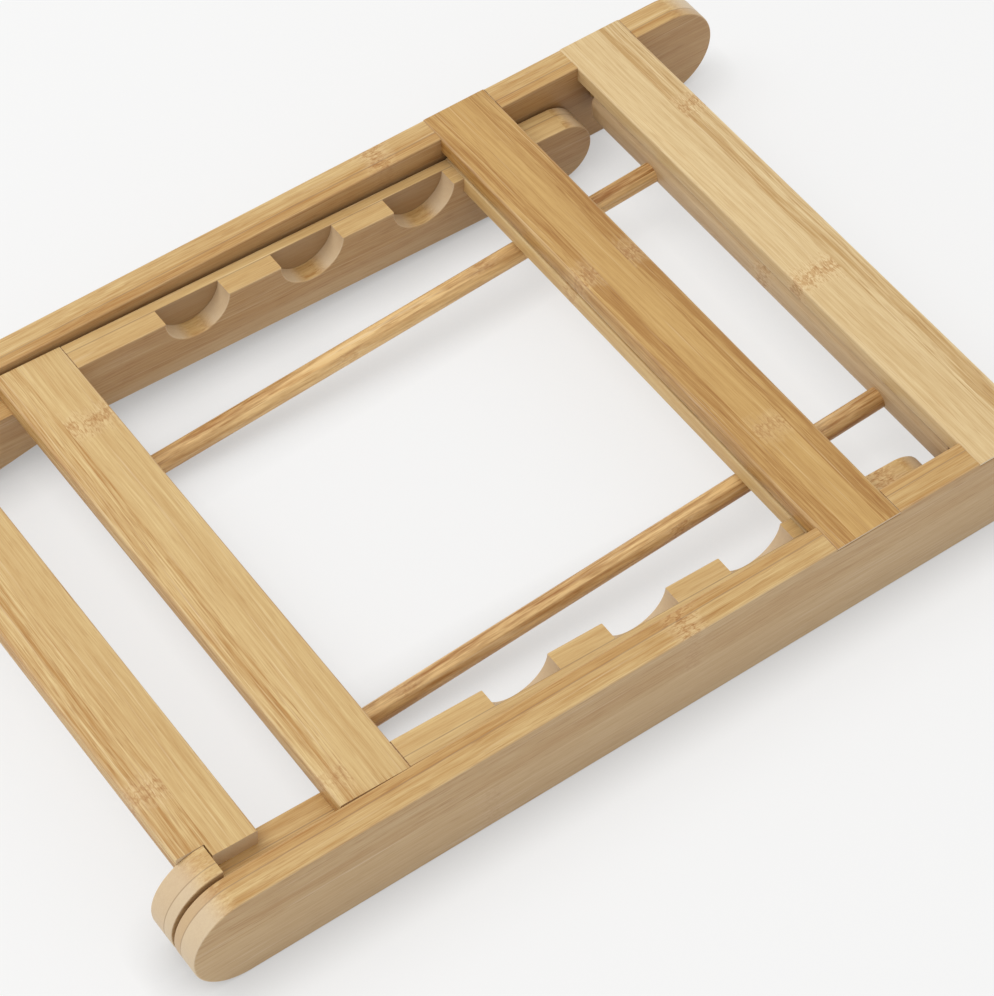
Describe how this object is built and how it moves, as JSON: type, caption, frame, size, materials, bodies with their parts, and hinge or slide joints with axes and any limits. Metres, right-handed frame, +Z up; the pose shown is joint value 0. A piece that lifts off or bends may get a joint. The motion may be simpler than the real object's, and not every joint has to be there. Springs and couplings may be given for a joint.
{
  "type": "folding bookstand rack",
  "caption": "Folding bamboo bookstand of three pinned frames: a notched base, a book rest hinged to it and a prop, shown folded flat.",
  "frame": {"origin": "centre of the folded stand's underside, on the table", "axes": "+X along the rails from the hinge end to the head, +Y across to the far rail of the picture, +Z up"},
  "size_m": [0.376, 0.24, 0.0404],
  "materials": {
    "rest_rail_bamboo": "satin pale gold bamboo, two plies",
    "base_rail_bamboo": "satin pale gold bamboo, two plies",
    "slat_bamboo": "satin pale gold bamboo",
    "prop_bar_bamboo": "satin pale gold bamboo",
    "dowel_bamboo": "turned bamboo, satin",
    "pin_wood": "plain turned wood"
  },
  "bodies": {
    "base": {"base_rail_near": "base_rail_bamboo", "base_rail_far": "base_rail_bamboo", "base_slat_hinge": "slat_bamboo", "base_slat_front": "slat_bamboo", "base_slat_back": "slat_bamboo"},
    "rest": {"rest_rail_near": "rest_rail_bamboo", "rest_rail_far": "rest_rail_bamboo", "rest_slat_lower": "slat_bamboo", "rest_slat_upper": "slat_bamboo", "hinge_pin_near": "pin_wood", "hinge_pin_far": "pin_wood", "prop_pin_near": "pin_wood", "prop_pin_far": "pin_wood"},
    "prop": {"prop_pivot_bar": "prop_bar_bamboo", "prop_dowel_near": "dowel_bamboo", "prop_dowel_far": "dowel_bamboo", "prop_foot_rod": "dowel_bamboo"}
  },
  "joints": [
    {"name": "rest_hinge", "type": "hinge", "parent": "base", "child": "rest", "pos_m": [-0.168, 0, 0.02], "axis": [0, -1, 0], "range_deg": [0, 30]},
    {"name": "prop_hinge", "type": "hinge", "parent": "rest", "child": "prop", "pos_m": [0.1345, 0, 0.023], "axis": [0, -1, 0], "range_deg": [0, 180]}
  ],
  "couplings": [
    {"joint": "prop_hinge", "follows": "rest_hinge", "ratio": 6}
  ]
}
